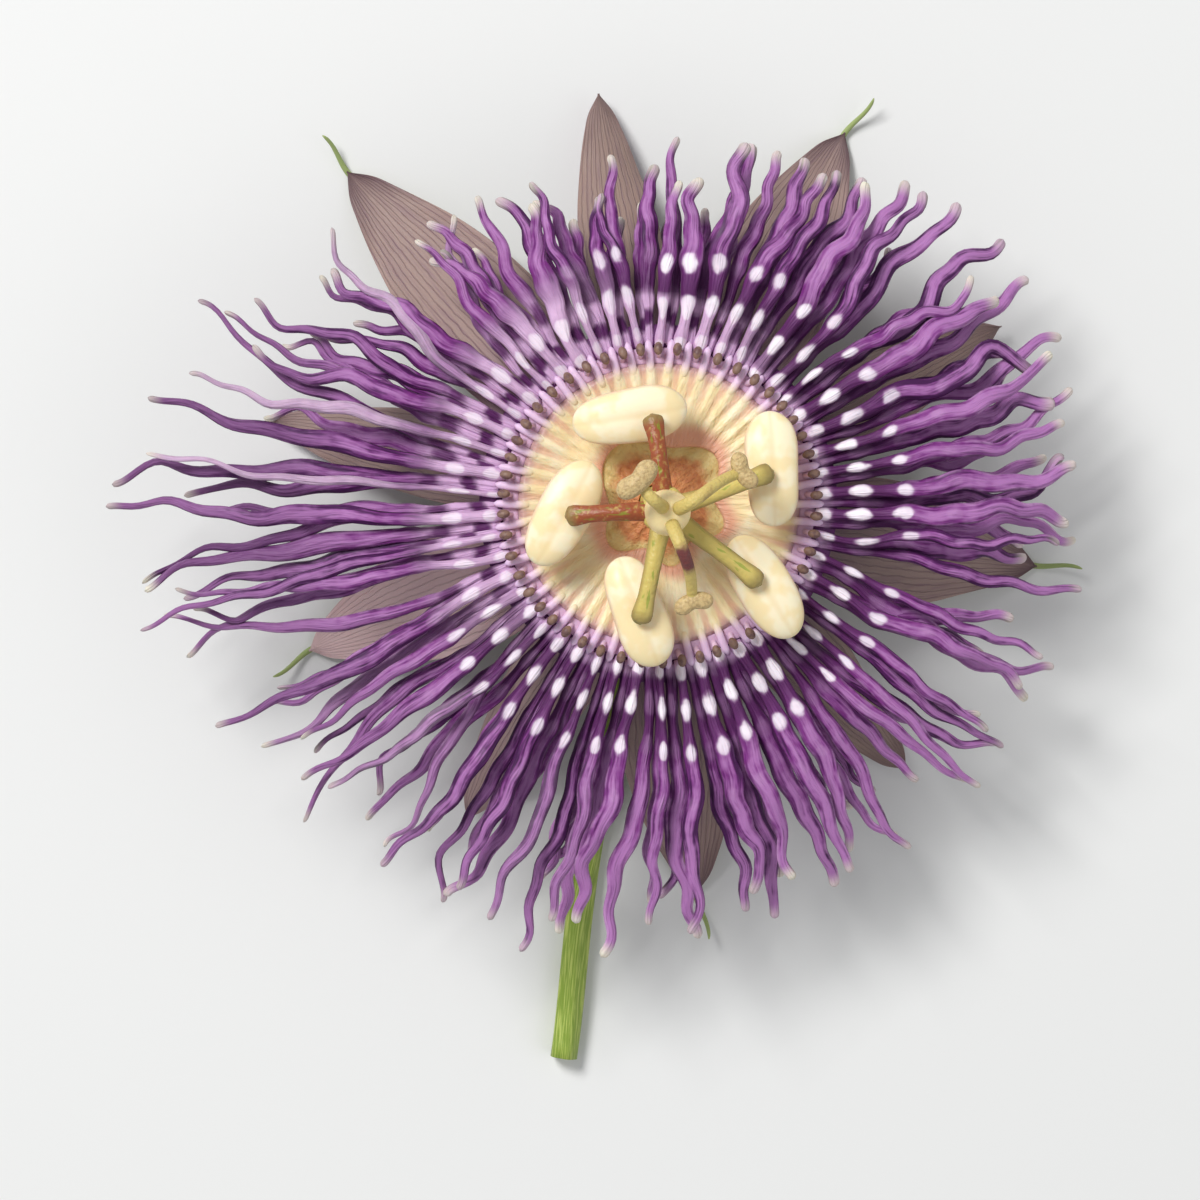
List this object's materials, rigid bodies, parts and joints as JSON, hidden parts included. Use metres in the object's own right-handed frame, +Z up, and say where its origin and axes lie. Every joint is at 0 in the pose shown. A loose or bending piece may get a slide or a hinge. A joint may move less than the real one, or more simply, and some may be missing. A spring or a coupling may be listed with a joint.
{
  "type": "passion flower",
  "caption": "Cut passion flower laid face up: reflexed sepals and petals, a banded purple corona, spreading stamens and styles, and a bent green stalk.",
  "frame": {"origin": "middle of the part's lowest plane, in the surface that the bloom rests on", "axes": "+Z up along the flower's axis, out of its face; the stalk leaves towards -Y; +Y is the top of the flower as the picture shows it, and +X its right"},
  "size_m": [0.1056, 0.104, 0.0402],
  "materials": {
    "stalk_green": "satin",
    "bract_green": "satin",
    "sepal_pink": "matte",
    "petal_mauve": "matte",
    "disc_cream": "satin",
    "operculum_brown": "satin",
    "inner_corona_brown": "satin",
    "corona_purple": "satin",
    "column_olive": "satin",
    "anther_cream": "matte",
    "ovary_cream": "satin",
    "style_olive": "satin"
  },
  "bodies": {
    "root": {"stalk_and_cup": "stalk_green", "bract_1": "bract_green", "bract_2": "bract_green", "bract_3": "bract_green", "sepal_1": "sepal_pink", "sepal_2": "sepal_pink", "sepal_3": "sepal_pink", "sepal_4": "sepal_pink", "sepal_5": "sepal_pink", "petal_1": "petal_mauve", "petal_2": "petal_mauve", "petal_3": "petal_mauve", "petal_4": "petal_mauve", "petal_5": "petal_mauve", "disc": "disc_cream", "operculum": "operculum_brown", "corona_inner": "inner_corona_brown", "corona_outer": "corona_purple", "column": "column_olive", "anther_1": "anther_cream", "anther_2": "anther_cream", "anther_3": "anther_cream", "anther_4": "anther_cream", "anther_5": "anther_cream", "ovary": "ovary_cream", "style_1": "style_olive", "style_2": "style_olive", "style_3": "style_olive"}
  },
  "joints": []
}
